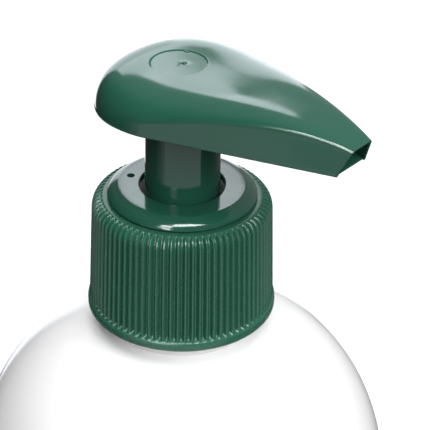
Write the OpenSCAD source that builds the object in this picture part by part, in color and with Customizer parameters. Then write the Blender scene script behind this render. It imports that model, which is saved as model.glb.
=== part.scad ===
// Soap pump dispenser: round bottle, ribbed screw closure and lotion pump with a drooping spout.
// Millimetres, +Z up, origin at the centre of the bottle's foot, spout along +X.

/* [Bottle] */
// Outside radius of the bottle's body and of its round shoulder
bottle_r = 37; // [34:0.5:42]
// Height of the centre of the round shoulder above the foot
shoulder_z = 104; // [90:1:130]
// Thickness of the bottle's wall
bottle_wall = 1.4; // [1:0.1:2]
// Radius of the rounded corner at the foot
foot_round = 6; // [4:0.5:9]
// Radius of the neck at the root of its thread
neck_r = 12.5; // [12.4:0.1:12.6]
// Radius of the neck's bore
neck_bore_r = 10.9; // [10.6:0.1:11]

/* [Screw thread] */
// Rise of the thread in one turn
thread_pitch = 4.23; // [4:0.01:4.5]
// Turns of thread on the neck
neck_turns = 1.5; // [1:0.25:1.5]

/* [Closure] */
// Outside radius of the plain band at the closure's foot
closure_r = 16; // [15.9:0.1:17]
// Height of the closure
closure_h = 20.8; // [20.6:0.1:21.2]
// Number of grip ribs round the closure
ribs = 80; // [60:2:90]
// Depth of the grip ribs
rib_depth = 0.45; // [0.3:0.05:0.6]
// Share of each rib pitch that is rib
rib_share = 0.52; // [0.4:0.02:0.6]

/* [Collar] */
// Radius of the collar at its foot
collar_r = 12.5; // [12.2:0.1:12.8]
// Radius of the collar's flat top
collar_top_r = 10.65; // [10.4:0.05:11]
// Height of the collar above the closure
collar_h = 2.15; // [2:0.05:2.5]
// Radius of the hole that the head's sleeve slides in
collar_hole_r = 7.1; // [7:0.05:7.2]
// Radius of the vent hole in the collar's flat top
vent_r = 0.6; // [0.4:0.05:0.7]

/* [Head] */
// Height of the head's flat underside above the closure's foot
head_z = 38.56; // [38:0.01:40]
// Half width of the head
head_w = 14.43; // [13:0.01:15]
// Reach of the head's round back behind the stem
head_back = 12.57; // [11.5:0.01:13]
// Reach of the spout's lower lip in front of the stem
spout_x = 33.2; // [31:0.01:34.5]
// How far the spout's upper lip overhangs the lower one
spout_lean = 1.97; // [1:0.01:2.2]
// Height of the head over the stem
crown_back = 6.29; // [6:0.01:7]
// Height of the spout at its mouth
mouth_h = 4.62; // [4.3:0.01:5]
// Thickness of the head's shell
head_wall = 0.9; // [0.7:0.05:1]
// Outside radius of the sleeve under the head
sleeve_r = 6.25; // [6:0.05:6.4]

/* [Pump] */
// Travel of the head when it is pressed
stroke = 14; // [10:0.5:14]
// Radius of the hollow stem
stem_r = 3.4; // [3.3:0.05:3.5]
// Radius of the pump chamber's bore
chamber_r = 6.5; // [6.4:0.05:6.6]
// Radius of the spring's wire
wire_r = 0.45; // [0.35:0.05:0.5]
// Coils in the return spring
coils = 7; // [5:1:8]
// Outside radius of the dip tube
tube_r = 3; // [2.8:0.1:3]

/* [Hidden] */
$fn = 96;

shoulder_top = shoulder_z + sqrt(bottle_r * bottle_r - neck_r * neck_r);
// plane of the closure's foot: everything above is placed from it
zc = shoulder_z + bottle_r + 0.5;
neck_top = zc + 17;
closure_top = zc + closure_h;
closure_in = closure_top - 1.6;
collar_z = closure_top + 0.1;
collar_top = closure_top + collar_h;
hz = zc + head_z;
guide_floor = zc + 3.5;
seat_z = zc - 40.2;

green = [0.07, 0.27, 0.21];
white = [0.93, 0.93, 0.92];
natural = [0.85, 0.86, 0.84];
steel = [0.72, 0.73, 0.75];

// A ridge that climbs a cylinder: radius r0 at its root, r1 at its crest, half widths w0 and w1, from turn t0 to turn t1.
module ridge(r0, r1, w0, w1, z0, t0, t1) {
    steps = ceil((t1 - t0) * 28);
    function fade(i) = min(1, min(i, steps - i) / 4);
    rows = [for (i = [0:steps]) let (t = t0 + (t1 - t0) * i / steps, a = 360 * t, z = z0 + thread_pitch * t,
                                     r = r0 + (r1 - r0) * (0.12 + 0.88 * fade(i)))
            [[r0 * cos(a), r0 * sin(a), z - w0], [r * cos(a), r * sin(a), z - w1],
             [r * cos(a), r * sin(a), z + w1], [r0 * cos(a), r0 * sin(a), z + w0]]];
    up = r1 > r0;
    pts = [for (row = rows) for (p = row) p];
    side = [for (i = [0:steps - 1]) for (j = [0:3]) let (a = 4 * i + j, b = 4 * i + (j + 1) % 4)
            up ? [a, b, b + 4, a + 4] : [a, a + 4, b + 4, b]];
    ends = up ? [[3, 2, 1, 0], [4 * steps, 4 * steps + 1, 4 * steps + 2, 4 * steps + 3]]
              : [[0, 1, 2, 3], [4 * steps + 3, 4 * steps + 2, 4 * steps + 1, 4 * steps]];
    polyhedron(points = pts, faces = concat(side, ends), convexity = 6);
}

// Body with a round shoulder and a rounded foot.
module round_body(r, z0, rc) {
    translate([0, 0, z0 + rc]) cylinder(r = r, h = shoulder_z - z0 - rc);
    translate([0, 0, shoulder_z]) sphere(r = r);
    translate([0, 0, z0]) cylinder(r = r - rc, h = rc + 1);
    translate([0, 0, z0 + rc]) rotate_extrude() translate([r - rc, 0]) circle(r = rc);
}

module bottle() {
    color(white) difference() {
        union() {
            round_body(bottle_r, 0, foot_round);
            translate([0, 0, shoulder_z]) cylinder(r = neck_r, h = neck_top - shoulder_z);
            // bead under the closure
            translate([0, 0, shoulder_top + 0.2]) cylinder(r = neck_r + 1.1, h = 1.2);
            ridge(neck_r - 0.2, neck_r + 1.1, 1.05, 0.5, zc + 5, 0, neck_turns);
        }
        difference() {
            round_body(bottle_r - bottle_wall, 3, foot_round - 1);
            translate([0, 0, shoulder_top - 4]) cylinder(r = bottle_r, h = 20);
        }
        translate([0, 0, shoulder_z]) cylinder(r = neck_bore_r, h = 80);
        // push-up under the foot
        rotate_extrude() polygon([[0, -1], [27.5, -1], [27.5, 0], [24.5, 1.2], [0, 1.8]]);
    }
}

// Outline of the closure: drop is how far the wall lies inside the tips of its ribs. It fades out round the top corner.
function closure_profile(drop) = concat(
    [[0, 1.7], [closure_r - 0.3 - drop, 1.7], [closure_r - 1 - drop, closure_h - 1.3]],
    [for (a = [15:15:90]) let (rr = 1.3 - drop * cos(a)) [closure_r - 2.3 + rr * cos(a), closure_h - 1.3 + rr * sin(a)]],
    [[0, closure_h]]);

module closure() {
    color(green) translate([0, 0, zc]) difference() {
        union() {
            rotate_extrude() polygon([[0, 0], [closure_r - 0.25, 0], [closure_r, 0.25], [closure_r, 1.5], [closure_r - 0.2, 1.8], [0, 1.8]]);
            rotate_extrude() polygon(closure_profile(rib_depth));
            intersection() {
                rotate_extrude() polygon(closure_profile(0));
                linear_extrude(height = closure_h) polygon([for (i = [0:ribs - 1]) for (s = [-1, -0.8, 0.8, 1])
                    let (a = 360 / ribs * (i + s * rib_share / 2), r = abs(s) == 1 ? closure_r - 2.35 : closure_r + 1) [r * cos(a), r * sin(a)]]);
            }
        }
        translate([0, 0, -1]) cylinder(r = neck_r + 1.45, h = 16.8);
        translate([0, 0, 15]) cylinder(r = 13.25, h = closure_h - 1.6 - 15);
        cylinder(r = 9.95, h = closure_h + 1);
    }
    color(green) ridge(neck_r + 1.65, neck_r + 0.35, 1.05, 0.5, zc + 5 - thread_pitch / 2, -0.25, 1);
}

module neck_gasket() {
    color([0.9, 0.9, 0.88]) translate([0, 0, neck_top]) difference() {
        cylinder(r = 12.9, h = 1);
        translate([0, 0, -1]) cylinder(r = 9.05, h = 3);
    }
}

module collar() {
    color(green) difference() {
        union() {
            translate([0, 0, collar_z]) rotate_extrude() polygon(concat(
                [[0, 0], [collar_r - 0.15, 0], [collar_r, 0.15]],
                [[collar_r - 0.12, 0.55], [collar_r - 0.45, 0.98], [collar_r - 0.95, 1.42], [collar_top_r + 0.35, collar_h - 0.4],
                 [collar_top_r + 0.12, collar_h - 0.22], [collar_top_r - 0.15, collar_h - 0.12], [collar_top_r - 0.35, collar_h - 0.1], [0, collar_h - 0.1]]));
            // skirt that snaps over the housing's rim through the closure
            translate([0, 0, closure_in]) cylinder(r = 9.75, h = 3);
        }
        cylinder(r = collar_hole_r, h = 400);
        translate([0, 0, closure_in - 1]) cylinder(r = 9.05, h = collar_top - 1.05 - closure_in + 1);
        // groove for the rim's bead
        translate([0, 0, closure_in + 0.9]) rotate_extrude() polygon([[8, 0], [9.1, 0], [9.3, 0.25], [9.3, 0.75], [9.1, 1], [8, 1]]);
        rotate([0, 0, 205.4]) translate([8.9, 0, collar_top - 3]) cylinder(r = vent_r, h = 6, $fn = 32);
    }
}

module housing() {
    color(natural) difference() {
        union() {
            translate([0, 0, neck_top + 1]) cylinder(r = 12.9, h = 1.1);
            translate([0, 0, zc - 1]) cylinder(r = 9, h = collar_top - 1.65 - zc + 1);
            // bead on the rim
            translate([0, 0, closure_in + 0.9]) rotate_extrude() polygon([[8.5, 0.05], [9, 0.05], [9.22, 0.3], [9.22, 0.7], [9, 0.95], [8.5, 0.95]]);
            translate([0, 0, zc - 3]) cylinder(r1 = chamber_r + 1.1, r2 = 9, h = 2);
            translate([0, 0, zc - 36.5]) cylinder(r = chamber_r + 1.1, h = 36);
            translate([0, 0, zc - 40]) cylinder(r1 = 4.3, r2 = chamber_r + 1.1, h = 3.5);
            translate([0, 0, zc - 54]) cylinder(r = 4.3, h = 15);
            for (a = [0:60:300]) rotate([0, 0, a]) translate([0, -0.4, zc - 40]) cube([chamber_r + 1, 0.8, 4]);
        }
        translate([0, 0, zc + 0.9]) cylinder(r = 8, h = 60);
        translate([0, 0, zc - 35.2]) cylinder(r = chamber_r, h = 60);
        translate([0, 0, zc - 38.5]) cylinder(r = 3.3, h = 10);
        translate([0, 0, seat_z]) cylinder(r1 = 1.8, r2 = 3.3, h = 1.7);
        translate([0, 0, zc - 50]) cylinder(r = 1.8, h = 14);
        translate([0, 0, zc - 60]) cylinder(r = tube_r + 0.05, h = 18);
        // vent into the bottle above the chamber
        rotate([0, 0, 90]) translate([0, 0, zc + 11]) rotate([0, 90, 0]) cylinder(r = 0.7, h = 20, $fn = 24);
    }
}

module stem_guide() {
    color(natural) difference() {
        union() {
            translate([0, 0, zc + 1]) cylinder(r = 7.97, h = collar_top - 1.6 - zc - 1);
            translate([0, 0, collar_top - 1.6]) cylinder(r = 8.25, h = 0.5);
        }
        translate([0, 0, guide_floor]) cylinder(r = collar_hole_r, h = 60);
        translate([0, 0, zc - 1]) cylinder(r = stem_r + 0.08, h = 20);
    }
}

// Head outline: plan half width, crown height and wall height against the distance f from stem to mouth.
plan_m = 2.21;
plan_x = -0.53;
plan_slope = 0.338;
function spow(v, e) = sign(v) * pow(abs(v), e);
function crown(f) = crown_back * pow(1 - f, 3) + 18.72 * f * pow(1 - f, 2) + 26.61 * f * f * (1 - f) + mouth_h * pow(f, 3);
function wall_h(f) = 0.1 * pow(1 - f, 2) + 15.02 * f * (1 - f) + (mouth_h - 0.8) * f * f;
function bulge(f) = 5.66 * pow(1 - f, 2) + 2.8 * f * (1 - f) + 6.0 * f * f;
function corner(f) = 1.92 * pow(1 - f, 2) + 2.99 * f * (1 - f) + 4.0 * f * f;
function taper(f) = 0.008 * pow(1 - f, 2) - 0.1 * f * (1 - f) + 0.314 * f * f;
// Half of the plan outline, from the back round to the mouth, drawn in by w and run on past the mouth by ext.
function plan(w, ext, na, nl) = let (
    rx = head_back - w, ry = head_w - w,
    g = pow(plan_slope * rx / ry, 1 / (plan_m - 1)), p = pow(1 + pow(g, plan_m), -1 / plan_m), q = g * p,
    te = atan2(pow(p, plan_m / 2), pow(q, plan_m / 2)),
    x1 = plan_x + rx * q, y1 = ry * p, x2 = spout_x + ext)
    concat([for (i = [0:na]) let (t = 180 + (te - 180) * i / na) [plan_x + rx * spow(cos(t), 2 / plan_m), ry * spow(abs(sin(t)), 2 / plan_m)]],
           [for (i = [1:nl]) let (u = i / nl) [x1 + (x2 - x1) * u, y1 - plan_slope * (x2 - x1) * u]]);

// Closed body with the head's shape: w is how far it lies inside the outer surface, skirt how far it runs on below.
module head_body(w, ext, skirt, na = 26, nl = 16, nd = 9) {
    out = plan(w, ext, na, nl);
    n = len(out) - 1;
    rows = nd + 3;
    ip = max([for (i = [0:n]) out[i][0] <= plan_x ? i : 0]);
    function station(i, s) = let (
        x = out[i][0], y = out[i][1], f = max(0, (x - plan_x) / (spout_x - plan_x)),
        h = crown(f) - w, hw = max(0.2, min(wall_h(f) - w / 2, h - 0.05)), e = 2 / bulge(f), g = 2 / corner(f), k = taper(f))
        [for (j = [0:rows]) let (
            a = j < 3 ? 0 : 90 * (j - 3 + 1) / (nd + 1),
            z = j == 0 ? -skirt : j == 1 ? hw / 2 : j == 2 ? hw : hw + (h - hw) * pow(sin(a), g),
            sc = j == 0 ? 1 + (skirt > 0 ? k * skirt / max(1, hw) : 0) : j == 1 ? 1 - k / 2 : j == 2 ? 1 - k : (1 - k) * (a >= 90 ? 0 : pow(cos(a), e)),
            lean = spout_lean / mouth_h * z * pow(f, 3))
            [x < plan_x ? plan_x + (x - plan_x) * sc : x + lean, s * y * sc, z]];
    pts = [for (s = [1, -1]) for (i = [0:n]) for (p = station(i, s)) p];
    function id(s, i, j) = let (ii = j == rows && i <= ip ? ip : i, ss = j == rows || ii == 0 ? 0 : s) (ss * (n + 1) + ii) * (rows + 1) + j;
    quads = [for (s = [0, 1]) for (i = [0:n - 1]) for (j = [0:rows - 1])
        let (a = id(s, i, j), b = id(s, i + 1, j), c = id(s, i + 1, j + 1), d = id(s, i, j + 1))
        for (t = [[a, b, c], [a, c, d]]) if (t[0] != t[1] && t[1] != t[2] && t[2] != t[0]) s == 0 ? t : [t[2], t[1], t[0]]];
    floor_ = concat([for (i = [0:n]) id(0, i, 0)], [for (i = [n:-1:1]) id(1, i, 0)]);
    mouth = concat([for (j = [0:rows]) id(0, n, j)], [for (j = [rows - 1:-1:0]) id(1, n, j)]);
    polyhedron(points = pts, faces = concat(quads, [[for (i = [len(floor_) - 1:-1:0]) floor_[i]], mouth]), convexity = 6);
}

module head_shell() {
    color(green) difference() {
        translate([0, 0, hz]) head_body(0, 0, 0);
        translate([0, 0, hz]) head_body(head_wall, 2, 1);
        // flat witness disc sunk in the crown
        translate([-1, 0, hz + crown_back - 0.17]) cylinder(r = 4.5, h = 4);
    }
}

module head_base() {
    color(green) difference() {
        union() {
            // underside plate
            translate([0, 0, hz]) intersection() {
                linear_extrude(height = 1.2) let (o = [for (p = plan(head_wall + 0.12, 0, 26, 16))
                    let (f = max(0, (p[0] - plan_x) / (spout_x - plan_x)), s = 1 - taper(f) * min(1, 1.2 / max(0.2, wall_h(f) - head_wall / 2)))
                    [f == 0 ? plan_x + (p[0] - plan_x) * s : p[0], p[1] * s]])
                    polygon(concat(o, [for (i = [len(o) - 1:-1:1]) [o[i][0], -o[i][1]]]));
                translate([-40, -40, 0]) rotate([90, 0, 0]) mirror([0, 0, 1]) linear_extrude(height = 80)
                    polygon([[0, 0], [40 + spout_x, 0], [40 + spout_x, 0.5], [68, 1.2], [0, 1.2]]);
            }
            translate([0, 0, zc + 18]) cylinder(r = sleeve_r, h = hz - zc - 17.5);
            translate([0, 0, hz]) cylinder(r = 4.45, h = 4.1);
            // product channel
            translate([0, -2.9, hz]) cube([24, 5.8, 3.3]);
        }
        difference() {
            translate([0, 0, zc + 17]) cylinder(r = sleeve_r - 1, h = hz - zc - 17);
            translate([0, 0, zc + 26]) cylinder(r = 4.45, h = 20);
        }
        translate([0, 0, zc + 17]) cylinder(r = stem_r + 0.04, h = hz + 3.3 - zc - 17);
        translate([0, -2, hz + 1.2]) cube([26, 4, 1.4]);
    }
    // peg that keeps the outlet ball near its seat
    color(green) translate([0, 0, zc + 39.2]) cylinder(r = 0.8, h = hz + 3.4 - zc - 39.2, $fn = 32);
}

module stem() {
    color(natural) difference() {
        union() {
            translate([0, 0, zc - 6.9]) cylinder(r = stem_r, h = hz + 1.5 - zc + 6.9);
            translate([0, 0, zc - 0.6]) cylinder(r = 5.6, h = 1.3);
        }
        translate([0, 0, zc - 10]) cylinder(r = 1.5, h = 80);
        translate([0, 0, zc + 34.6]) cylinder(r1 = 1.5, r2 = 2.6, h = 1.4);
        translate([0, 0, zc + 35.99]) cylinder(r = 2.6, h = 20);
        // inlet ports
        translate([0, 0, zc - 1.9]) rotate([0, 90, 0]) cylinder(r = 0.6, h = 20, center = true, $fn = 24);
    }
}

module piston_seal() {
    color([0.8, 0.83, 0.85]) translate([0, 0, zc - 6.9]) rotate_extrude() polygon([
        [stem_r + 0.05, 0.9], [5.2, 0.9], [5.9, 0], [chamber_r - 0.06, 0], [chamber_r - 0.06, 0.5], [5.7, 2.2], [5.7, 3.9],
        [chamber_r - 0.06, 5.6], [chamber_r - 0.06, 6.1], [5.9, 6.1], [5.2, 5.1], [stem_r + 1, 4.6], [stem_r + 0.6, 6], [stem_r + 0.05, 6]]);
}

module stem_tip() {
    color(natural) translate([0, 0, zc - 8.3]) {
        cylinder(r = 5.1, h = 1.3);
        translate([0, 0, -2]) cylinder(r1 = 3.1, r2 = 3.6, h = 2);
        translate([0, 0, 1.3]) cylinder(r = 1.47, h = 3.2);
    }
}

module outlet_ball() {
    color(steel) translate([0, 0, zc + 36.03]) sphere(r = 2);
}

// Return spring with closed, flat-lying end coils.
module spring() {
    z0 = zc - 31 + wire_r;
    z1 = zc - 8.3 - wire_r;
    steps = coils * 22;
    function lift(u) = let (t = u * coils) t < 1 ? t * 2 * wire_r : t > coils - 1 ? z1 - z0 - (coils - t) * 2 * wire_r
        : 2 * wire_r + (t - 1) / (coils - 2) * (z1 - z0 - 4 * wire_r);
    pts = [for (i = [0:steps]) let (u = i / steps, a = 360 * coils * u) for (j = [0:7])
        let (b = 45 * j, r = 4.85 + wire_r * 0.98 * cos(b)) [r * cos(a), r * sin(a), z0 + lift(u) + wire_r * 0.98 * sin(b)]];
    color(steel) polyhedron(points = pts, faces = concat(
        [for (i = [0:steps - 1]) for (j = [0:7]) let (a = 8 * i + j, b = 8 * i + (j + 1) % 8) [a, b, b + 8, a + 8]],
        [[for (j = [7:-1:0]) j], [for (j = [0:7]) 8 * steps + j]]), convexity = 10);
}

module ball_cage() {
    color(natural) translate([0, 0, zc - 35.15]) {
        difference() {
            cylinder(r = chamber_r - 0.03, h = 4.1);
            translate([0, 0, -1]) cylinder(r = 4.1, h = 6);
        }
        // sieve plate over the ball
        difference() {
            translate([0, 0, 2.4]) cylinder(r = 4.3, h = 1.7);
            for (a = [0:60:300]) rotate([0, 0, a]) translate([2.7, 0, 0]) cylinder(r = 0.9, h = 10, $fn = 24);
        }
    }
}

module inlet_ball() {
    color(steel) translate([0, 0, zc - 38.3]) sphere(r = 2.5);
}

module dip_tube() {
    color([0.88, 0.9, 0.9]) difference() {
        translate([0, 0, 4.3]) cylinder(r = tube_r, h = zc - 42.1 - 4.3);
        translate([0, 0, 0]) cylinder(r = tube_r - 0.7, h = zc);
        // slanted cut at the foot
        translate([-10, -10, 0]) rotate([0, -30, 0]) translate([-20, 0, -10]) cube([40, 20, 10]);
    }
}

bottle();
closure();
neck_gasket();
collar();
housing();
stem_guide();
head_shell();
head_base();
stem();
piston_seal();
stem_tip();
outlet_ball();
spring();
ball_cage();
inlet_ball();
dip_tube();
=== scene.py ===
import math

import bmesh
import bpy
import numpy as np
from mathutils import Matrix, Vector


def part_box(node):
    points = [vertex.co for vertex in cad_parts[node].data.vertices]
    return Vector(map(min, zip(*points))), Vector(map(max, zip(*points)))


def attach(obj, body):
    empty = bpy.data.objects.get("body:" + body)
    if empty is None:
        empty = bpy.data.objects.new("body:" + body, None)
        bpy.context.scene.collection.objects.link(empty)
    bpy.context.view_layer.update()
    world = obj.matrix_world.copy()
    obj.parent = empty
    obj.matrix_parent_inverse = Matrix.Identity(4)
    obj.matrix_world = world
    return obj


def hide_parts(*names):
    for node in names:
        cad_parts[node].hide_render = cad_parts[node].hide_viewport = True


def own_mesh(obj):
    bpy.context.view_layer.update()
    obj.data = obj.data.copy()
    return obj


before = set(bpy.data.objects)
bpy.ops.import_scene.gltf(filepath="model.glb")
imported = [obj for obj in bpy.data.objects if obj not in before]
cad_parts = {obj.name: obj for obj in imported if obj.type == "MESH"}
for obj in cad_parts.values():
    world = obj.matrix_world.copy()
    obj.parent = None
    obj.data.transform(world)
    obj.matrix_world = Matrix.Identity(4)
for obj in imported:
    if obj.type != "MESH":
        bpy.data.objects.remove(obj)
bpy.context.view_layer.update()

MM = 0.001

# ---------------------------------------------------------------- sizes, millimetres, taken from the frame
def node_box(name):
    lo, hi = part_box(name)
    return [v / MM for v in lo], [v / MM for v in hi]

(b_lo, b_hi) = node_box("bottle")
(c_lo, c_hi) = node_box("closure")
(k_lo, k_hi) = node_box("collar")
(h_lo, h_hi) = node_box("head_shell")
(s_lo, s_hi) = node_box("head_base")
BOTTLE_R = b_hi[0]
NECK_TOP = b_hi[2]
ZC = c_lo[2]                       # plane of the closure's foot
CAP_R = c_hi[0]
CAP_H = c_hi[2] - c_lo[2]
COLLAR_TOP = k_hi[2]
COLLAR_R = k_hi[0]
HZ = h_lo[2]                       # the head's flat underside
SHOULDER_Z = ZC - BOTTLE_R - 0.5
NECK_R = 12.5


# ---------------------------------------------------------------- mesh helpers
def make(name, verts, faces, sharp=35.0):
    me = bpy.data.meshes.new(name)
    me.from_pydata([tuple(float(c) * MM for c in v) for v in verts], [], [tuple(int(i) for i in f) for f in faces])
    me.validate()
    bm = bmesh.new()
    bm.from_mesh(me)
    bmesh.ops.recalc_face_normals(bm, faces=bm.faces)
    bm.to_mesh(me)
    bm.free()
    for p in me.polygons:
        p.use_smooth = True
    if sharp:
        me.set_sharp_from_angle(angle=math.radians(sharp))
    ob = bpy.data.objects.new(name, me)
    bpy.context.scene.collection.objects.link(ob)
    return ob


class Shells:
    """Collects closed shells into one mesh."""

    def __init__(self):
        self.v, self.f = [], []

    def add(self, verts, faces):
        n = len(self.v)
        self.v.extend([tuple(v) for v in verts])
        self.f.extend([tuple(i + n for i in f) for f in faces])

    def revolve(self, profile, seg=192, start=0.0):
        """Closed profile of (r, z) points; points on the axis become one vertex."""
        ids, verts = [], []
        for r, z in profile:
            if r < 1e-6:
                ids.append([len(verts)] * seg)
                verts.append((0, 0, z))
            else:
                row = []
                for i in range(seg):
                    a = start + 2 * math.pi * i / seg
                    row.append(len(verts))
                    verts.append((r * math.cos(a), r * math.sin(a), z))
                ids.append(row)
        faces = []
        m = len(profile)
        for k in range(m):
            a, b = ids[k], ids[(k + 1) % m]
            for i in range(seg):
                j = (i + 1) % seg
                quad = [a[i], a[j], b[j], b[i]]
                out = []
                for q in quad:
                    if q not in out:
                        out.append(q)
                if len(out) > 2:
                    faces.append(out)
        self.add(verts, faces)

    def helix(self, r0, r1, w0, w1, z0, t0, t1, pitch=4.23, per=72):
        steps = int(math.ceil((t1 - t0) * per))
        verts, faces = [], []
        for i in range(steps + 1):
            t = t0 + (t1 - t0) * i / steps
            a = 2 * math.pi * t
            z = z0 + pitch * t
            fade = min(1.0, min(i, steps - i) / 10.0)
            fade = fade * fade * (3 - 2 * fade)
            r = r0 + (r1 - r0) * (0.1 + 0.9 * fade)
            rm = r0 + (r - r0) * 0.8
            for rr, zz in ((r0, -w0), (rm, -w1 - 0.1), (r, -w1 + 0.1), (r, w1 - 0.1), (rm, w1 + 0.1), (r0, w0)):
                verts.append((rr * math.cos(a), rr * math.sin(a), z + zz))
        k = 6
        for i in range(steps):
            for j in range(k):
                a, b = k * i + j, k * i + (j + 1) % k
                faces.append((a, b, b + k, a + k))
        faces.append(tuple(range(k))[::-1])
        faces.append(tuple(k * steps + j for j in range(k)))
        self.add(verts, faces)

    def build(self, name, sharp=35.0):
        return make(name, self.v, self.f, sharp)


def arc(cx, cz, r, a0, a1, n):
    return [(cx + r * math.cos(math.radians(a0 + (a1 - a0) * i / n)), cz + r * math.sin(math.radians(a0 + (a1 - a0) * i / n))) for i in range(n + 1)]


def line(p, q, n):
    return [(p[0] + (q[0] - p[0]) * i / n, p[1] + (q[1] - p[1]) * i / n) for i in range(1, n)]


# ---------------------------------------------------------------- head: the same rules as the CAD shell
PLAN_M, PLAN_X, SLOPE = 2.21, -0.53, 0.338
BACK, WIDE, LIP = 12.57, 14.43, 33.2
LEAN, MOUTH_H, CROWN0 = 1.97, 4.62, 6.29
DISC = (-1.0, 0.0, 4.48, 6.12)


def f_of(x):
    u = (x - PLAN_X) / (LIP - PLAN_X)
    return 0.5 * (np.sqrt(u * u + 0.05 ** 2) + u)


def crown(f):
    return CROWN0 * (1 - f) ** 3 + 18.72 * f * (1 - f) ** 2 + 26.61 * f * f * (1 - f) + MOUTH_H * f ** 3


def wall_h(f):
    return 0.1 * (1 - f) ** 2 + 15.02 * f * (1 - f) + (MOUTH_H - 0.8) * f * f


def bulge(f):
    return 5.66 * (1 - f) ** 2 + 2.8 * f * (1 - f) + 6.0 * f * f


def corner(f):
    return 1.92 * (1 - f) ** 2 + 2.99 * f * (1 - f) + 4.0 * f * f


def taper(f):
    return 0.008 * (1 - f) ** 2 - 0.1 * f * (1 - f) + 0.314 * f * f


def sat(s):
    """Follows s up to 1, then levels off smoothly a little above it."""
    return np.where(s <= 1, s, 1 + 0.12 * (1 - np.exp(-(np.maximum(s, 1) - 1) / 0.12)))


def plan_line(w):
    rx, ry = BACK - w, WIDE - w
    g = (SLOPE * rx / ry) ** (1 / (PLAN_M - 1))
    p = (1 + g ** PLAN_M) ** (-1 / PLAN_M)
    q = g * p
    te = math.atan2(p ** (PLAN_M / 2), q ** (PLAN_M / 2))
    return rx, ry, PLAN_X + rx * q, ry * p, te


def plan_width(x, w):
    rx, ry, x1, y1, _ = plan_line(w)
    e = np.clip((x - PLAN_X) / rx, 0, 1)
    return np.where(x < x1, ry * (1 - e ** PLAN_M) ** (1 / PLAN_M), y1 - SLOPE * (x - x1))


def surface_z(x, y, w):
    """Height of the head's top surface over the plan point (x, y), for a surface w inside the outer one."""
    x, y = np.asarray(x, float), np.asarray(y, float)
    rx, ry = BACK - w, WIDE - w
    f = f_of(x)
    h = crown(f) - w
    hw = np.maximum(0.2, np.minimum(wall_h(f) - w / 2, h - 0.05))
    n, q, k = bulge(f), corner(f), taper(f)
    rear = ((np.abs(np.minimum(x - PLAN_X, 0)) / rx) ** PLAN_M + (np.abs(y) / ry) ** PLAN_M) ** (1 / PLAN_M)
    front = np.abs(y) / plan_width(x, w)
    rho = np.where(x < PLAN_X, rear, front)
    lo, hi = np.zeros_like(rho), np.ones_like(rho)
    for _ in range(46):
        s = 0.5 * (lo + hi)
        z = hw + (h - hw) * s
        sc = np.maximum(1 - s ** q, 0) ** (1 / n) * (1 - k * sat(z / hw))
        big = sc > rho
        lo = np.where(big, s, lo)
        hi = np.where(big, hi, s)
    s = 0.5 * (lo + hi)
    return hw + (h - hw) * s


def smin(a, b, r):
    h = np.clip(0.5 + 0.5 * (b - a) / r, 0, 1)
    return b + (a - b) * h - r * h * (1 - h)


def outer_detail(x, y, z):
    """The sunk witness disc with its sloping rim, and the gate mark in it."""
    d = np.hypot(x - DISC[0], y - DISC[1])
    cut = DISC[3] + np.maximum(0, d - DISC[2]) * 0.8
    z2 = np.where(d < DISC[2] + 2.5, smin(z, cut, 0.035), z)
    g = np.hypot((x + 0.42) / 1.25, y - 0.62)
    z2 = z2 + 0.16 * np.exp(-((g / 0.26) ** 4)) - 0.1 * np.exp(-((g / 0.42) ** 2)) * (g > 0.3)
    g = np.hypot(x + 0.5, (y + 0.3) / 1.3)
    z2 = z2 - 0.07 * np.exp(-((g / 0.2) ** 2))
    # short step in the rim at the far side
    a = np.arctan2(y - DISC[1], x - DISC[0])
    return z2 + 0.09 * np.exp(-(((d - DISC[2] + 0.1) / 0.16) ** 4)) * np.exp(-(((a - 1.98) / 0.12) ** 4))


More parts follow.
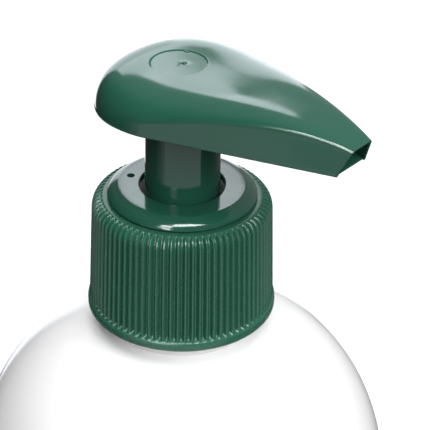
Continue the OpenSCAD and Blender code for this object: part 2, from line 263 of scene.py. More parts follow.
def head_sheet(w, ext, outer, side_n, arch_n, rings, wall_rows):
    """Open sheet of the head's surface. Returns vertices, faces and the boundary loop."""
    rx, ry, x1, y1, te = plan_line(w)
    x2 = LIP + ext
    t = np.linspace(math.pi, te, side_n[0])
    ax = PLAN_X + rx * np.sign(np.cos(t)) * np.abs(np.cos(t)) ** (2 / PLAN_M)
    ay = ry * np.abs(np.sin(t)) ** (2 / PLAN_M)
    u = np.linspace(0, 1, side_n[1] + 1)[1:]
    px = np.concatenate([ax, x1 + (x2 - x1) * u])
    py = np.concatenate([ay, y1 - SLOPE * (x2 - x1) * u])
    # near tip -> back -> far tip
    sx = np.concatenate([px[::-1], px[1:]])
    sy = np.concatenate([-py[::-1], py[1:]])
    ns = len(sx)
    f = f_of(sx)
    k = taper(f)
    tx = np.where(sx < PLAN_X, PLAN_X + (sx - PLAN_X) * (1 - k), sx)
    ty = sy * (1 - k)
    # arch across the mouth, far -> near
    fe = f_of(np.array([x2]))[0]
    wt = ty[-1]
    al = np.linspace(0, math.pi, arch_n + 2)[1:-1]
    ya = wt * np.sign(np.cos(al)) * np.abs(np.cos(al)) ** (2 / bulge(fe))
    ex = np.concatenate([tx, np.full(arch_n, x2)])
    ey = np.concatenate([ty, ya])
    n = len(ex)
    cx, cy = DISC[0], DISC[1]
    length = np.hypot(ex - cx, ey - cy)
    inner, count = rings
    rin = np.array(inner)
    r_last = rin[-1]
    nb = bulge(f_of(ex))
    rows = [rin[:, None] / length[None, :]]
    a0 = np.arccos(np.clip((r_last / length) ** (nb / 2), 0, 1))
    al = np.linspace(1, 0, count + 1)[1:, None] * a0[None, :]
    rows.append(np.cos(al) ** (2 / nb[None, :]))
    T = np.vstack(rows)
    X = cx + (ex - cx)[None, :] * T
    Y = cy + (ey - cy)[None, :] * T
    Z = surface_z(X, Y, w)
    # the wall top ends exactly on the wall's own height
    fw = f_of(sx)
    hw = np.maximum(0.2, np.minimum(wall_h(fw) - w / 2, crown(fw) - w - 0.05))
    Z[-1, :ns] = hw
    if outer:
        Z = outer_detail(X, Y, Z)
    XL = X + LEAN / MOUTH_H * Z * f_of(X) ** 3
    zc0 = float(surface_z(np.array([cx]), np.array([cy]), w)[0])
    if outer:
        zc0 = float(outer_detail(np.array([cx]), np.array([cy]), np.array([zc0]))[0])
    verts = [(cx, cy, zc0)]
    verts += [(XL[r, i], Y[r, i], Z[r, i]) for r in range(T.shape[0]) for i in range(n)]
    rid = lambda r, i: 1 + r * n + (i % n)
    faces = [(0, rid(0, i), rid(0, i + 1)) for i in range(n)]
    R = T.shape[0]
    for r in range(R - 1):
        for i in range(n):
            faces.append((rid(r, i), rid(r + 1, i), rid(r + 1, i + 1), rid(r, i + 1)))
    base = len(verts)
    for v, (zf, inset) in enumerate(wall_rows):
        z = zf[0] * hw + zf[1] * np.minimum(1, hw / 1.2)
        sc = 1 - k * z / hw
        nx = np.where(sx < PLAN_X, PLAN_X + (sx - PLAN_X) * sc, sx)
        ny = sy * sc
        # inset towards the middle of the plan
        dx = np.where(sx < PLAN_X, (sx - PLAN_X) / np.maximum(np.hypot(sx - PLAN_X, sy), 1e-6), 0.0)
        dy = np.where(sx < PLAN_X, sy / np.maximum(np.hypot(sx - PLAN_X, sy), 1e-6), np.sign(sy))
        nx = nx - dx * inset
        ny = ny - dy * inset
        nx = nx + LEAN / MOUTH_H * z * fw ** 3
        verts += [(nx[i], ny[i], z[i]) for i in range(ns)]
    wid = lambda v, i: rid(R - 1, i) if v == 0 else base + (v - 1) * ns + i
    V = len(wall_rows)
    for v in range(V):
        for i in range(ns - 1):
            faces.append((wid(v, i), wid(v + 1, i), wid(v + 1, i + 1), wid(v, i + 1)))
    loop = [wid(V, i) for i in range(ns)]
    loop += [wid(v, ns - 1) for v in range(V - 1, -1, -1)]
    loop += [rid(R - 1, i) for i in range(ns, n)]
    loop += [wid(v, 0) for v in range(0, V)]
    return np.array(verts), faces, loop


def build_head():
    V = [((f, 0.0), 0.0) for f in (0.92, 0.8, 0.65, 0.5, 0.35, 0.2)]
    rows = V + [((0.0, 0.2), 0.0), ((0.0, 0.1), 0.015), ((0.0, 0.03), 0.06), ((0.0, 0.0), 0.13)]
    ring_a = list(np.linspace(0.08, 1.6, 18)) + [2.0, 2.5, 3.0, 3.5, 3.9, 4.15, 4.28, 4.36, 4.42, 4.46, 4.5, 4.54, 4.58, 4.64, 4.72, 4.82, 4.92, 5.02, 5.12, 5.22, 5.32, 5.45, 5.6, 5.8, 6.1]
    vo, fo, lo = head_sheet(0.0, 0.0, True, (90, 110), 37, (ring_a, 52), rows)
    rows_in = [((f, 0.0), 0.0) for f in (0.92, 0.8, 0.65, 0.5, 0.35, 0.2)] + [((0.0, 0.2), 0.0), ((0.0, 0.14), 0.0), ((0.0, 0.07), 0.0), ((0.0, 0.0), 0.0)]
    vi, fi, li = head_sheet(0.9, 0.0, False, (90, 110), 37, ([1.5, 3.0, 4.5, 6.0], 16), rows_in)
    # the inside opens out towards the mouth, where the real walls thin to about half a millimetre
    fx = f_of(vi[:, 0])
    near = np.clip((fx - 0.86) / 0.14, 0, 1) ** 1.5
    vi[:, 1] *= 1 + 0.13 * near
    vi[:, 2] += 0.32 * near * np.clip(vi[:, 2] / 3.0, 0, 1)
    s = Shells()
    n = len(vo)
    verts = [tuple(v) for v in vo] + [tuple(v) for v in vi]
    faces = list(fo) + [tuple(i + n for i in f[::-1]) for f in fi]
    # rounded rim between the two sheets
    po, pi = vo[lo], vi[li]
    tip = f_of(po[:, 0]) > 0.999
    down = np.where(po[:, 2] < 0.05, 1.0, 0.0)
    slant = math.atan2(LEAN, MOUTH_H)
    mouth_n = np.array([math.cos(slant), 0, -math.sin(slant)])
    L = len(lo)
    prev = list(lo)
    for s_ in (0.25, 0.5, 0.75):
        h = 0.07 * math.sqrt(1 - (2 * s_ - 1) ** 2)
        cur = []
        for j in range(L):
            p = po[j] * (1 - s_) + pi[j] * s_
            p = p + h * (mouth_n * (1.0 if tip[j] else 0.0))
            cur.append(len(verts))
            verts.append(tuple(p))
        for j in range(L):
            q = (j + 1) % L
            faces.append((prev[j], cur[j], cur[q], prev[q]))
        prev = cur
    for j in range(L):
        q = (j + 1) % L
        faces.append((prev[j], li[j] + n, li[q] + n, prev[q]))
    verts = [(v[0], v[1], v[2] + HZ) for v in verts]
    return make("head_shell_surface", verts, faces, sharp=40)


def plan_outline(w, n0=60, n1=50):
    rx, ry, x1, y1, te = plan_line(w)
    t = np.linspace(math.pi, te, n0)
    px = list(PLAN_X + rx * np.sign(np.cos(t)) * np.abs(np.cos(t)) ** (2 / PLAN_M))
    py = list(ry * np.abs(np.sin(t)) ** (2 / PLAN_M))
    u = np.linspace(0, 1, n1 + 1)[1:]
    px += list(x1 + (LIP - 0.1 - x1) * u)
    py += list(y1 - SLOPE * (LIP - 0.1 - x1) * u)
    pts = list(zip(px, py))
    return pts + [(x, -y) for x, y in pts[1:][::-1]]


def build_head_base():
    s = Shells()
    # plate, thinner towards the mouth, with a round hole for the sleeve
    o = plan_outline(0.55)
    m = len(o)
    lean_in = []
    for x, y in o:
        f = float(f_of(np.array([x]))[0])
        k = 1 - float(taper(f)) * min(1.0, 1.2 / max(0.2, float(wall_h(f)) - 0.45))
        lean_in.append((PLAN_X + (x - PLAN_X) * k if x < PLAN_X else x, y * k))
    R = s_hi[2] - 0
    inner_r = 6.0
    ang = [math.atan2(y, x) for x, y in o]
    ring = [(inner_r * math.cos(a), inner_r * math.sin(a)) for a in ang]
    top = lambda x: 1.2 if x < 28 else 1.2 - 0.75 * (x - 28) / (LIP - 28)
    steps = 10
    verts, faces = [], []
    for q in range(steps + 1):
        t = q / steps
        for (x, y), (a, b) in zip(o, ring):
            X, Y = a + (x - a) * t, b + (y - b) * t
            verts.append((X, Y, HZ + 0.02 + (0.08 if q == steps else 0)))
    for q in range(steps + 1):
        t = q / steps
        for (x, y), (a, b) in zip(lean_in, ring):
            X, Y = a + (x - a) * t, b + (y - b) * t
            verts.append((X, Y, HZ + top(X)))
    n = m * (steps + 1)
    for q in range(steps):
        for i in range(m):
            j = (i + 1) % m
            faces.append((q * m + i, q * m + j, (q + 1) * m + j, (q + 1) * m + i))
            faces.append((n + q * m + i, n + (q + 1) * m + i, n + (q + 1) * m + j, n + q * m + j))
    for i in range(m):
        j = (i + 1) % m
        faces.append((i, n + i, n + j, j))
        e = steps * m
        faces.append((e + i, e + j, n + e + j, n + e + i))
    s.add(verts, faces)
    # sleeve, with a small fillet under the plate and a rounded lower rim
    ro, ri = 6.25, 5.25
    z0, z1 = s_lo[2], HZ + 1.2
    prof = [(ri + 0.12, z0), (ro - 0.3, z0)] + arc(ro - 0.3, z0 + 0.3, 0.3, -90, 0, 6)[1:]
    prof += line((ro, z0 + 0.3), (ro, HZ - 0.5), 12) + [(ro, HZ - 0.5)]
    prof += arc(ro + 0.5, HZ - 0.5, 0.5, 180, 90, 6)[1:]
    prof += [(ro + 0.5, HZ + 0.2), (ro + 0.3, z1 - 0.05), (ri, z1 - 0.05), (ri, z0 + 0.12)]
    s.revolve(prof, 192)
    # socket for the stem
    zs = ZC + 26
    s.revolve([(3.46, zs + 0.15), (3.6, zs), (4.3, zs), (4.45, zs + 0.15), (4.45, HZ + 4.1), (0, HZ + 4.1), (0, HZ + 3.3), (3.46, HZ + 3.3)], 96)
    # peg over the outlet ball
    s.revolve([(0, ZC + 39.2), (0.65, ZC + 39.2), (0.8, ZC + 39.35), (0.8, HZ + 3.35), (0, HZ + 3.35)], 32)
    # product channel
    def tube_box(x0, x1, yo, yi, zo0, zo1, zi0, zi1):
        loop_o = [(-yo, zo0), (yo, zo0), (yo, zo1), (-yo, zo1)]
        loop_i = [(-yi, zi0), (yi, zi0), (yi, zi1), (-yi, zi1)]
        v = [(x, y, z) for x in (x0, x1) for y, z in loop_o + loop_i]
        f = []
        for k in range(4):
            l = (k + 1) % 4
            f.append((k, l, 8 + l, 8 + k))
            f.append((4 + k, 12 + k, 12 + l, 4 + l))
            f.append((k, 4 + k, 4 + l, l))
            f.append((8 + k, 8 + l, 12 + l, 12 + k))
        s.add(v, f)
    tube_box(4.3, 24.0, 2.9, 2.0, HZ + 1.15, HZ + 3.3, HZ + 1.21, HZ + 2.6)
    return s.build("head_underside_and_sleeve", sharp=35)


# ---------------------------------------------------------------- closure with rounded ribs
RIBS = 80


def build_closure():
    s = Shells()
    per = 12
    seg = RIBS * per
    th = 2 * math.pi * np.arange(seg) / seg
    ph = (np.arange(seg) % per) / per           # 0..1 across one rib pitch
    # rounded rib, narrower than its groove is wide
    c = 0.5 - 0.5 * np.cos(2 * math.pi * ph)
    rib = np.clip(1.2 * c - 0.05, 0, 1)
    r_lo, r_hi = CAP_R - 0.3, CAP_R - 0.9
    turn_r = 2.1
    z_lo, z_hi = 1.75, CAP_H - turn_r
    rows = []                                   # (r, z, normal r, normal z, depth share)
    for a in arc(CAP_R - 0.3, 0.3, 0.3, -90, 0, 5):
        rows.append((a[0], a[1], 1, 0, 0))
    rows.append((CAP_R, 0.9, 1, 0, 0))
    rows.append((CAP_R - 0.02, 1.3, 1, 0, 0))
    rows.append((CAP_R - 0.1, 1.5, 1, 0, 0))
    rows.append((CAP_R - 0.24, 1.62, 1, 0, 0.0))
    rows.append((CAP_R - 0.31, 1.75, 1, 0, 0.35))
    rows.append((CAP_R - 0.32, 1.95, 1, 0, 0.8))
    rows.append((CAP_R - 0.33, 2.25, 1, 0, 1.0))
    for i in range(1, 19):
        t = i / 18
        rows.append((CAP_R - 0.33 + (r_hi - CAP_R + 0.33) * t, 2.25 + (z_hi - 2.25) * t, 1, 0.04, 1.0))
    for i in range(1, 25):
        a = math.radians(90 * i / 24)
        fade = min(1.0, max(0.0, (math.radians(80) - a) / math.radians(26)))
        rows.append((r_hi - turn_r + turn_r * math.cos(a), z_hi + turn_r * math.sin(a), math.cos(a), math.sin(a), math.sqrt(1 - (1 - fade) ** 2)))
    depth = 0.8
    for r, z in ((r_hi - turn_r - 0.2, CAP_H), (12.2, CAP_H), (11.5, CAP_H), (10.2, CAP_H), (10.0, CAP_H - 0.08), (9.95, CAP_H - 0.25), (9.95, CAP_H - 1.6)):
        rows.append((r, z, 1, 0, 0))
    ztop = CAP_H - 1.6
    for r, z in ((13.25, ztop), (13.25, 15.9), (13.95, 15.6), (13.95, 8.0), (13.95, 0.5), (14.2, 0.0)):
        rows.append((r, z, 1, 0, 0))
    verts, faces = [], []
    for r, z, nr, nz, d in rows:
        off = depth * d * (1 - rib)
        rr = r - nr * off
        zz = z - nz * off
        verts += [(rr[i] * math.cos(th[i]), rr[i] * math.sin(th[i]), ZC + zz[i]) for i in range(seg)]
    m = len(rows)
    for k in range(m):
        for i in range(seg):
            j = (i + 1) % seg
            q = (k + 1) % m
            faces.append((k * seg + i, k * seg + j, q * seg + j, q * seg + i))
    s.add(verts, faces)
    s.helix(NECK_R + 1.65, NECK_R + 0.35, 1.05, 0.5, ZC + 5 - 4.23 / 2, -0.25, 1)
    return s.build("closure_ribbed", sharp=50)


# ---------------------------------------------------------------- collar
def build_collar():
    s = Shells()
    z0 = ZC + CAP_H + 0.1
    zt = COLLAR_TOP
    zin = ZC + CAP_H - 1.6
    R = COLLAR_R
    prof = [(9.75, z0), (11.2, z0), (11.5, z0 + 0.04), (R - 0.35, z0 + 0.26)] + arc(R - 0.1, z0 + 0.4, 0.1, -110, 0, 5)
    # convex flank up to the flat top
    p0, p1, p2 = (R, z0 + 0.42), (R - 0.25, z0 + 1.25), (10.95, zt - 0.2)
    for i in range(1, 15):
        t = i / 14
        prof.append((p0[0] * (1 - t) ** 2 + 2 * p1[0] * t * (1 - t) + p2[0] * t * t, p0[1] * (1 - t) ** 2 + 2 * p1[1] * t * (1 - t) + p2[1] * t * t))
    q0, q1, q2 = (10.95, zt - 0.2), (10.72, zt - 0.005), (10.4, zt)
    for i in range(1, 9):
        t = i / 8
        prof.append((q0[0] * (1 - t) ** 2 + 2 * q1[0] * t * (1 - t) + q2[0] * t * t, q0[1] * (1 - t) ** 2 + 2 * q1[1] * t * (1 - t) + q2[1] * t * t))
    prof += [(9.6, zt), (8.9, zt), (8.2, zt), (7.55, zt)]
    prof += arc(7.32, zt - 0.22, 0.22, 90, 180, 5)
    prof += [(7.1, zt - 0.6), (7.1, zt - 1.05), (9.05, zt - 1.05), (9.05, zin + 1.9), (9.3, zin + 1.65), (9.3, zin + 1.15), (9.05, zin + 0.9), (9.05, zin + 0.1), (9.15, zin), (9.6, zin), (9.75, zin + 0.15)]
    s.revolve(prof, 240)
    ob = s.build("collar_ring", sharp=32)
    a = math.radians(205.4)
    drill = Shells()
    drill.revolve([(0, zt - 1.6), (0.6, zt - 1.6), (0.6, zt - 0.08), (0.72, zt + 0.04), (0.72, zt + 1), (0, zt + 1)], 32)
    tool = make("vent_tool", [(x + 8.9 * math.cos(a), y + 8.9 * math.sin(a), z) for x, y, z in drill.v], drill.f, 30)
    cut_with(ob, tool)
    return ob


def cut_with(ob, tool):
    m = ob.modifiers.new("cut", "BOOLEAN")
    m.operation = "DIFFERENCE"
    m.object = tool
    m.solver = "EXACT"
    dg = bpy.context.evaluated_depsgraph_get()
    me = bpy.data.meshes.new_from_object(ob.evaluated_get(dg))
    ob.modifiers.clear()
    old = ob.data
    ob.data = me
    me.name = ob.name
    bpy.data.meshes.remove(old)
    bpy.data.objects.remove(tool, do_unlink=True)
    for p in me.polygons:
        p.use_smooth = True
    me.set_sharp_from_angle(angle=math.radians(32))


# ---------------------------------------------------------------- bottle
def build_bottle():
    s = Shells()
    R, rc, sz, w = BOTTLE_R, 6.0, SHOULDER_Z, 1.4
    ztop = NECK_TOP
    st = sz + math.sqrt(R * R - NECK_R * NECK_R)
    out = [(0, 1.8), (12, 1.72), (20, 1.5), (24.2, 1.2), (25.6, 0.75), (27.0, 0.12), (27.8, 0.0), (31 - 0.2, 0.0)]
    out += arc(R - rc, rc, rc, -90, 0, 14)[1:]
    out += line((R, rc), (R, sz), 24) + [(R, sz)]
    a_end = math.degrees(math.acos((NECK_R + 1.0) / R))
    out += arc(0, sz, R, 0, a_end - 1.2, 60)[1:]
    bx, bz = NECK_R + 0.25, st - 0.35
    out += [(NECK_R + 0.75, st - 0.62), (NECK_R + 0.42, st - 0.38), (NECK_R + 0.1, st)]
    out += [(NECK_R + 0.1, st + 0.2), (NECK_R + 0.9, st + 0.22), (NECK_R + 1.1, st + 0.45), (NECK_R + 1.1, st + 1.15), (NECK_R + 0.9, st + 1.4), (NECK_R, st + 1.45)]
    out += line((NECK_R, st + 1.45), (NECK_R, ztop - 0.3), 10) + [(NECK_R, ztop - 0.3), (NECK_R - 0.12, ztop - 0.08), (NECK_R - 0.35, ztop)]
    ri = R - w
    br = 10.9
    zi = sz + math.sqrt(ri * ri - br * br)
    inn = [(br + 0.25, ztop), (br + 0.06, ztop - 0.1), (br, ztop - 0.3)] + line((br, ztop - 0.3), (br, zi), 8)
    inn += arc(0, sz, ri, math.degrees(math.acos(br / ri)), 0, 40)
    inn += line((ri, sz), (ri, 8), 6) + arc(ri - 5, 8, 5, 0, -90, 10) + [(0, 3)]
    s.revolve(out + inn, 256)
    s.helix(NECK_R - 0.2, NECK_R + 1.1, 1.05, 0.5, ZC + 5, 0, 1.5)
    return s.build("bottle_round", sharp=35)


# ---------------------------------------------------------------- materials
def socket(node, name, value):
    node.inputs[name].default_value = value


class Mat:
    def __init__(self, name):
        self.m = bpy.data.materials.new(name)
        self.m.use_nodes = True
        self.t = self.m.node_tree
        self.bsdf = self.t.nodes["Principled BSDF"]
        self.tc = self.t.nodes.new("ShaderNodeTexCoord")

    def set(self, **kw):
        for k, v in kw.items():
            self.bsdf.inputs[k.replace("_", " ")].default_value = v
        return self

    def node(self, kind, **props):
        n = self.t.nodes.new(kind)
        for k, v in props.items():
            setattr(n, k, v)
        return n

    def link(self, a, b):
        self.t.links.new(a, b)

    def noise(self, scale, detail=3.0, rough=0.55, stretch=(1, 1, 1), distortion=0.0):
        mp = self.node("ShaderNodeMapping")
        mp.inputs["Scale"].default_value = stretch
        self.link(self.tc.outputs["Object"], mp.inputs["Vector"])
        n = self.node("ShaderNodeTexNoise")
        socket(n, "Scale", scale)
        socket(n, "Detail", detail)
        socket(n, "Roughness", rough)
        socket(n, "Distortion", distortion)
        self.link(mp.outputs["Vector"], n.inputs["Vector"])
        return n.outputs["Fac"]

    def ramp(self, fac, stops):
        r = self.node("ShaderNodeValToRGB")
        el = r.color_ramp.elements
        while len(el) > 1:
            el.remove(el[-1])
        el[0].position, el[0].color = stops[0][0], (*stops[0][1], 1)
        for p, c in stops[1:]:
            e = el.new(p)
            e.color = (*c, 1)
        self.link(fac, r.inputs["Fac"])
        return r.outputs["Color"]

    def remap(self, fac, a, b, lo=0.3, hi=0.7):
        r = self.node("ShaderNodeMapRange")
        socket(r, "From Min", lo)
        socket(r, "From Max", hi)
        socket(r, "To Min", a)
        socket(r, "To Max", b)
        self.link(fac, r.inputs["Value"])
        return r.outputs["Result"]

    def bump(self, height, distance, strength=1.0, under=None):
        b = self.node("ShaderNodeBump")
        socket(b, "Strength", strength)
        socket(b, "Distance", distance)
        self.link(height, b.inputs["Height"])
        if under is not None:
            self.link(under, b.inputs["Normal"])
        return b.outputs["Normal"]


def plastic(name, dark, light, rough, ior=1.5, peel=0.00002, grain=0.000004, sss=0.0, sss_scale=0.002, streak=(1, 1, 1)):
    """Moulded plastic: faint flow clouds in the colour, gloss that varies, orange peel and fine grain."""
    m = Mat(name)
    m.set(IOR=ior)
    cloud = m.noise(55, 4, 0.6, streak, 0.4)
    m.link(m.ramp(cloud, [(0.3, dark), (0.7, light)]), m.bsdf.inputs["Base Color"])
    m.link(m.remap(m.noise(160, 3, 0.6, streak), rough * 0.85, rough * 1.15), m.bsdf.inputs["Roughness"])
    n1 = m.bump(m.noise(420, 1.5, 0.4), peel, 0.6)
    n2 = m.bump(m.noise(2600, 2, 0.5), grain, 0.5, n1)
    m.link(n2, m.bsdf.inputs["Normal"])
    if sss:
        m.set(Subsurface_Weight=sss, Subsurface_Scale=sss_scale)
        m.bsdf.inputs["Subsurface Radius"].default_value = (1.0, 1.0, 0.9)
    return m.m


GREEN_D, GREEN_L = (0.0125, 0.073, 0.0475), (0.0145, 0.081, 0.053)
mat_head = plastic("pp_green_gloss", GREEN_D, GREEN_L, 0.11, peel=0.000006, grain=0.0000015)
mat_collar = plastic("pp_green_collar", GREEN_D, GREEN_L, 0.13, peel=0.000012, grain=0.000004)
mat_cap = plastic("pp_green_satin", (0.019, 0.098, 0.062), (0.022, 0.107, 0.068), 0.27, peel=0.000008, grain=0.000003)
mat_bottle = plastic("hdpe_white", (0.86, 0.855, 0.86), (0.885, 0.88, 0.885), 0.16, peel=0.00003, grain=0.000008, sss=0.12, sss_scale=0.003, streak=(1, 1, 0.25))
mat_natural = plastic("pp_natural", (0.70, 0.72, 0.70), (0.80, 0.81, 0.79), 0.34, sss=0.35, sss_scale=0.003)
mat_seal = plastic("pe_seal", (0.78, 0.79, 0.77), (0.86, 0.86, 0.84), 0.42, sss=0.25, sss_scale=0.002)


def foam():
    m = Mat("pe_foam")
    m.set(IOR=1.45, Roughness=0.85, Subsurface_Weight=0.2, Subsurface_Scale=0.001)
    v = m.node("ShaderNodeTexVoronoi")
    socket(v, "Scale", 3800.0)
    m.link(m.tc.outputs["Object"], v.inputs["Vector"])
    m.link(m.ramp(v.outputs["Distance"], [(0.0, (0.86, 0.86, 0.85)), (0.5, (0.76, 0.76, 0.75))]), m.bsdf.inputs["Base Color"])
    m.link(m.bump(v.outputs["Distance"], 0.00008, 0.7), m.bsdf.inputs["Normal"])
    return m.m


def steel(name, rough, stretch):
    m = Mat(name)
    m.set(Metallic=1.0)
    f = m.noise(900, 4, 0.6, stretch)
    m.link(m.ramp(f, [(0.3, (0.48, 0.48, 0.47)), (0.7, (0.62, 0.62, 0.61))]), m.bsdf.inputs["Base Color"])
    m.link(m.remap(f, rough * 0.7, rough * 1.3), m.bsdf.inputs["Roughness"])
    m.link(m.bump(m.noise(3000, 2, 0.5, stretch), 0.000004, 0.5), m.bsdf.inputs["Normal"])
    return m.m


def tube():
    m = Mat("ldpe_tube")
    m.set(IOR=1.5, Transmission_Weight=0.35, Subsurface_Weight=0.2, Subsurface_Scale=0.002)
    f = m.noise(300, 3, 0.5, (1, 1, 0.06))
    m.link(m.ramp(f, [(0.3, (0.78, 0.80, 0.79)), (0.7, (0.88, 0.89, 0.88))]), m.bsdf.inputs["Base Color"])
    m.link(m.remap(f, 0.28, 0.42), m.bsdf.inputs["Roughness"])
    m.link(m.bump(f, 0.00002, 0.4), m.bsdf.inputs["Normal"])
    return m.m


mat_foam = foam()
mat_spring = steel("steel_wire", 0.28, (1, 1, 6))
mat_ball = steel("steel_ball", 0.1, (1, 1, 1))
mat_tube = tube()


def wear(ob, mat):
    ob.data.materials.clear()
    ob.data.materials.append(mat)


def piece(ob, body, slot_name, mat, *nodes):
    wear(ob, mat)
    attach(ob, body)
    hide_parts(*nodes)
    return ob


# ---------------------------------------------------------------- the pieces
piece(build_bottle(), "bottle", "bottle", mat_bottle, "bottle")
piece(build_closure(), "closure", "closure", mat_cap, "closure")
piece(build_collar(), "pump_body", "collar", mat_collar, "collar")
piece(build_head(), "head", "head", mat_head, "head_shell")
piece(build_head_base(), "head", "head", mat_head, "head_base")

for name, mat in (
    ("housing", mat_natural),
    ("stem_guide", mat_natural),
    ("stem", mat_natural),
    ("ball_cage", mat_natural),
    ("stem_tip", mat_seal),
    ("piston_seal", mat_seal),
    ("neck_gasket", mat_foam),
    ("dip_tube", mat_tube),
    ("outlet_ball", mat_ball),
    ("inlet_ball", mat_ball),
):
    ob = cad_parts[name]
    for i in range(max(1, len(ob.material_slots))):
        if len(ob.material_slots) == 0:
            ob.data.materials.append(mat)
        else:
            ob.material_slots[i].material = mat

# the spring gets its own copy of the CAD mesh, carried by the pump body
coil_lo, coil_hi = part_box("spring")
coil = bpy.data.objects.new("return_spring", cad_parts["spring"].data.copy())
coil.matrix_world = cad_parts["spring"].matrix_world.copy()
bpy.context.scene.collection.objects.link(coil)
piece(coil, "pump_body", "spring", mat_spring, "spring")
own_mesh(coil)

# ---------------------------------------------------------------- floor, light and camera
YAW, PITCH, ROLL, DIST, LIFT, TURN = 0.022, 0.553, 0.021, 249.99, 171.107, 0.704
fwd = Vector((math.sin(YAW) * math.cos(PITCH), math.cos(YAW) * math.cos(PITCH), -math.sin(PITCH)))
right = Vector((math.cos(YAW), -math.sin(YAW), 0))
up = right.cross(fwd)
r2 = math.cos(ROLL) * right + math.sin(ROLL) * up
u2 = -math.sin(ROLL) * right + math.cos(ROLL) * up
view = Matrix((r2, u2, -fwd)).transposed().to_4x4()
view.translation = Vector((0, -DIST, LIFT)) * MM
stand = Matrix.Translation((0, 0, ZC * MM)) @ Matrix.Rotation(TURN, 4, "Z")
cam_data = bpy.data.cameras.new("camera")
cam_data.sensor_fit = "HORIZONTAL"
cam_data.sensor_width = 36.0
cam_data.lens = 36.0 * 1755.59 / 430.0
cam_data.clip_start = 0.01
cam_data.clip_end = 50
camera = bpy.data.objects.new("camera", cam_data)
camera.matrix_world = stand @ view
bpy.context.scene.collection.objects.link(camera)
bpy.context.scene.camera = camera

bm = bmesh.new()
bmesh.ops.create_grid(bm, x_segments=2, y_segments=2, size=4.0)
floor_mesh = bpy.data.meshes.new("floor")
bm.to_mesh(floor_mesh)
bm.free()
floor = bpy.data.objects.new("floor", floor_mesh)
bpy.context.scene.collection.objects.link(floor)
fm = Mat("floor_white")
fm.set(Roughness=0.9, Specular_IOR_Level=0.0)
fm.link(fm.ramp(fm.noise(6, 2), [(0.3, (0.90, 0.90, 0.895)), (0.7, (0.92, 0.92, 0.915))]), fm.bsdf.inputs["Base Color"])
floor.data.materials.append(fm.m)
floor.visible_glossy = False
floor.visible_diffuse = False

world = bpy.data.worlds.new("studio")
bpy.context.scene.world = world
world.use_nodes = True
wt = world.node_tree
bg = wt.nodes["Background"]
bg.inputs["Color"].default_value = (1.0, 1.0, 1.0, 1)
# the room is dim on the left and brighter up on the right
room = wt.nodes.new("ShaderNodeTexCoord")
turn = wt.nodes.new("ShaderNodeVectorMath")
turn.operation = "DOT_PRODUCT"
side = Matrix.Rotation(TURN, 3, "Z") @ Vector((math.sin(0.7) * math.cos(0.7), math.cos(0.7) * math.cos(0.7), math.sin(0.7)))
turn.inputs[1].default_value = tuple(side)
wt.links.new(room.outputs["Generated"], turn.inputs[0])
dim = wt.nodes.new("ShaderNodeMapRange")
dim.interpolation_type = "SMOOTHSTEP"
dim.inputs["From Min"].default_value = 0.1
dim.inputs["From Max"].default_value = 1.0
dim.inputs["To Min"].default_value = 0.05
dim.inputs["To Max"].default_value = 0.5
wt.links.new(turn.outputs["Value"], dim.inputs["Value"])
wt.links.new(dim.outputs["Result"], bg.inputs["Strength"])


def panel(name, azimuth, elevation, dist, w, h, radiance, roll=0.0, aim=(0, 0, HZ), gloss=True):
    """Soft box facing the object. The azimuth is measured from the direction in which the camera looks, positive to its right."""
    a = math.radians(azimuth)
    e = math.radians(elevation)
    d = Vector((math.sin(a) * math.cos(e), math.cos(a) * math.cos(e), math.sin(e)))
    d = Matrix.Rotation(TURN, 3, "Z") @ d
    data = bpy.data.lights.new(name, "AREA")
    data.shape = "RECTANGLE"
    data.size = w
    data.size_y = h
    data.energy = radiance * math.pi * w * h
    ob = bpy.data.objects.new(name, data)
    ob.location = Vector(aim) * MM + d * dist
    ob.rotation_mode = "QUATERNION"
    q = d.to_track_quat("Z", "Y")
    ob.rotation_quaternion = q @ Matrix.Rotation(math.radians(roll), 3, "Z").to_quaternion()
    ob.visible_glossy = gloss
    bpy.context.scene.collection.objects.link(ob)
    return ob


def softbox(name, corners, dist, radiance, tint=(1.0, 1.0, 1.0), aim=(0, 0, HZ)):
    """Flat glowing sheet whose outline is given by its corners' azimuths and elevations."""
    pts = []
    for azimuth, elevation in corners:
        a, e = math.radians(azimuth), math.radians(elevation)
        d = Vector((math.sin(a) * math.cos(e), math.cos(a) * math.cos(e), math.sin(e)))
        pts.append(Vector(aim) * MM + Matrix.Rotation(TURN, 3, "Z") @ d * dist)
    me = bpy.data.meshes.new(name)
    me.from_pydata([tuple(p) for p in pts], [], [tuple(range(len(pts)))])
    ob = bpy.data.objects.new(name, me)
    bpy.context.scene.collection.objects.link(ob)
    m = bpy.data.materials.new(name)
    m.use_nodes = True
    t = m.node_tree
    t.nodes.clear()
    e = t.nodes.new("ShaderNodeEmission")
    e.inputs["Color"].default_value = (*tint, 1)
    e.inputs["Strength"].default_value = radiance
    o = t.nodes.new("ShaderNodeOutputMaterial")
    t.links.new(e.outputs["Emission"], o.inputs["Surface"])
    me.materials.append(m)
    ob.visible_camera = False
    ob.visible_shadow = False
    return ob


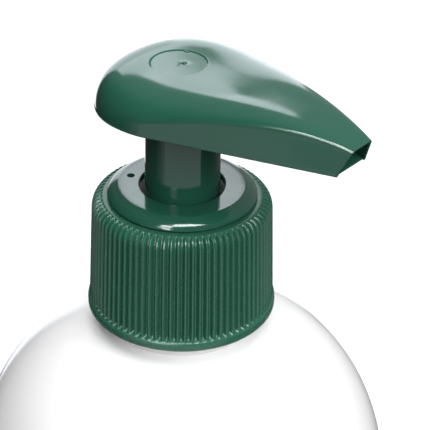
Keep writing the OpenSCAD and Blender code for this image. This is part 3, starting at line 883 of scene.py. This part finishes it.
COOL = (0.89, 0.94, 1.0)
softbox("back_light", [(-20, 20), (-0.2, 20), (-0.2, 27), (-6, 31.5), (-18.5, 30.5)], 1.25, 3.4, COOL)
softbox("back_light_tongue", [(-0.2, 27), (4, 29.5), (9.5, 35.5), (9.5, 39), (3, 37), (-2, 34), (-6, 31.5)], 1.25, 4.9, COOL)
softbox("back_sweep", [(-27, -6), (-2, -6), (-2, 20), (-20, 20), (-25, 6)], 1.3, 2.2, COOL)
softbox("back_sweep_right", [(-2, -6), (12, -6), (12, 13), (3, 21.2), (1, 22.2), (-2, 22.2)], 1.3, 2.9, COOL)
softbox("low_sweep", [(-27, -6), (12, -6), (12, -30), (-27, -30)], 1.3, 1.9, COOL).visible_diffuse = False
softbox("front_card_top", [(-124, -1), (124, -1), (124, -5), (-124, -5)], 1.0, 0.3).visible_diffuse = False
softbox("front_card_mid", [(-124, -5), (124, -5), (124, -9), (-124, -9)], 1.0, 0.6).visible_diffuse = False
softbox("front_card", [(-124, -9), (124, -9), (124, -35), (-124, -35)], 1.0, 0.9).visible_diffuse = False
softbox("front_card_fade", [(-112, -5), (-124, -5), (-124, -35), (-112, -35)], 1.0, 0.45).visible_diffuse = False
softbox("front_card_end", [(-100, -7), (-112, -7), (-112, -35), (-100, -35)], 1.0, 0.2).visible_diffuse = False
softbox("left_card", [(-170, -6), (-112, -6), (-112, 22), (-170, 22)], 1.2, 0.12).visible_diffuse = False
softbox("edge_strip", [(-163, 35), (-144, 35), (-144, 54), (-163, 54)], 1.1, 17.0).visible_diffuse = False
softbox("edge_strip_low", [(-163, 0), (-144, 0), (-144, 28.5), (-163, 28.5)], 1.1, 17.0).visible_diffuse = False
softbox("dash_card", [(139, 50), (199, 50), (199, 68), (139, 68)], 0.9, 21.0).visible_diffuse = False
panel("key_fill", 158, 40, 1.3, 1.6, 1.0, 5.3, gloss=False)
panel("top_fill", -120, 84, 1.1, 0.8, 0.8, 4.4, gloss=False)

view_set = bpy.context.scene.view_settings
view_set.view_transform = "Standard"
view_set.look = "None"
view_set.exposure = 0.0
view_set.gamma = 1.0
